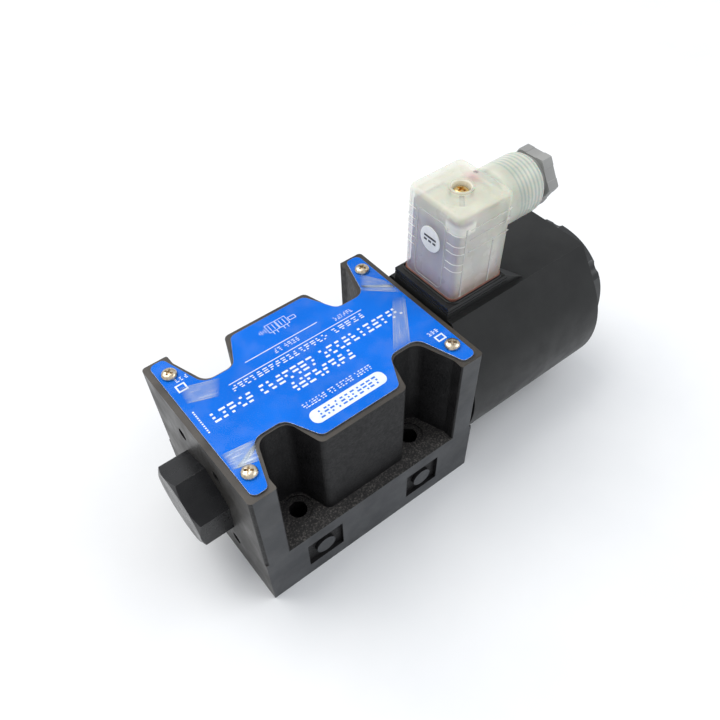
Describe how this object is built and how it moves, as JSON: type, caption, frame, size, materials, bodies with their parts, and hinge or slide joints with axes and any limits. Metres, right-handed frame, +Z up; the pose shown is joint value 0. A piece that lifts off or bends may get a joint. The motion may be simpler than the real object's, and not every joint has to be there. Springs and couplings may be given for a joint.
{
  "type": "solenoid directional valve",
  "caption": "Size 10 single-solenoid hydraulic directional valve with cast body, blue nameplate, black coil and translucent plug connector.",
  "frame": {"origin": "centre of the four mounting bolts, on the mounting face", "axes": "+X along the spool towards the solenoid, +Z up out of the mounting face towards the nameplate"},
  "size_m": [0.1975, 0.071, 0.1125],
  "materials": {
    "cast_iron_black": "black phosphated casting with machined, faintly blue-grey faces",
    "blue_print": "printed blue metal plate, semi-gloss",
    "clear_film": "thin clear protective film",
    "yellow_zinc": "zinc plated with a faint yellow passivation",
    "black_oxide_steel": "black oxide, satin",
    "nitrile": "black nitrile rubber",
    "spring_steel": "drawn spring wire",
    "ground_steel": "hardened and ground",
    "soft_iron": "turned and zinc plated",
    "brass": "turned brass",
    "tinned_brass": "tin plated",
    "coil_plastic": "glass-filled moulding, matt black",
    "bobbin_plastic": "natural glass-filled nylon",
    "copper": "enamelled copper wire",
    "nut_plastic": "moulded black plastic, satin",
    "gasket_rubber": "reddish-brown silicone",
    "translucent_hood": "milky translucent plastic, semi-gloss",
    "insert_plastic": "purplish-grey polyamide",
    "circuit_board": "pale laminate",
    "red_lamp": "dark red lens",
    "white_label": "white paper label",
    "gland_grey": "grey moulded plastic"
  },
  "bodies": {
    "valve": {"valve_body": "cast_iron_black", "port_seals": "nitrile", "nameplate": "blue_print", "nameplate_film": "clear_film", "nameplate_screws": "yellow_zinc", "end_plug": "black_oxide_steel", "end_plug_seal": "nitrile", "return_spring": "spring_steel", "pole_piece": "soft_iron", "tube_body_seal": "nitrile", "nonmagnetic_ring": "brass", "tube_sleeve": "soft_iron", "tube_end": "soft_iron", "override_seal": "nitrile"},
    "spool_group": {"spool": "ground_steel", "push_rod": "ground_steel", "armature": "soft_iron", "armature_washer": "brass", "spring_seat": "spring_steel"},
    "override": {"override_pin": "ground_steel"},
    "coil": {"coil_moulding": "coil_plastic", "power_terminals": "tinned_brass", "earth_terminal": "tinned_brass", "screw_insert": "brass", "yoke_tube": "soft_iron", "yoke_front_plate": "soft_iron", "yoke_rear_plate": "soft_iron", "bobbin": "bobbin_plastic", "copper_winding": "copper"},
    "nut": {"coil_nut": "nut_plastic", "coil_rear_seal": "nitrile"},
    "connector": {"connector_gasket": "gasket_rubber", "connector_housing": "translucent_hood", "contact_insert": "insert_plastic", "wire_screws": "yellow_zinc", "socket_contacts": "tinned_brass", "indicator_board": "circuit_board", "indicator_lamp": "red_lamp", "connector_screw": "brass", "screw_seal": "nitrile", "supply_label": "white_label", "gland_grommet": "nitrile", "gland_washer": "gland_grey"},
    "gland": {"gland_nut": "gland_grey"}
  },
  "joints": [
    {"name": "spool_shift", "type": "slide", "parent": "valve", "child": "spool_group", "axis": [-1, 0, 0], "range_m": [0, 0.0035], "stiffness_N_per_m": 6000, "springref_m": -0.004, "deforming": ["return_spring"]},
    {"name": "override_press", "type": "slide", "parent": "valve", "child": "override", "axis": [-1, 0, 0], "range_m": [0, 0.0035]},
    {"name": "coil_turn", "type": "hinge", "parent": "valve", "child": "coil", "pos_m": [0.0863, 0, 0.035], "axis": [1, 0, 0], "range_deg": [-90, 90]},
    {"name": "coil_nut_spin", "type": "hinge", "parent": "valve", "child": "nut", "pos_m": [0.1286, 0, 0.035], "axis": [1, 0, 0], "continuous": true},
    {"name": "connector_lift", "type": "slide", "parent": "coil", "child": "connector", "axis": [0, 0, 1], "range_m": [0, 0.02]},
    {"name": "gland_nut_spin", "type": "hinge", "parent": "connector", "child": "gland", "pos_m": [0.1, 0, 0.1002], "axis": [1, 0, 0], "continuous": true}
  ],
  "couplings": [
    {"joint": "override_press", "follows": "spool_shift", "ratio": 1}
  ]
}
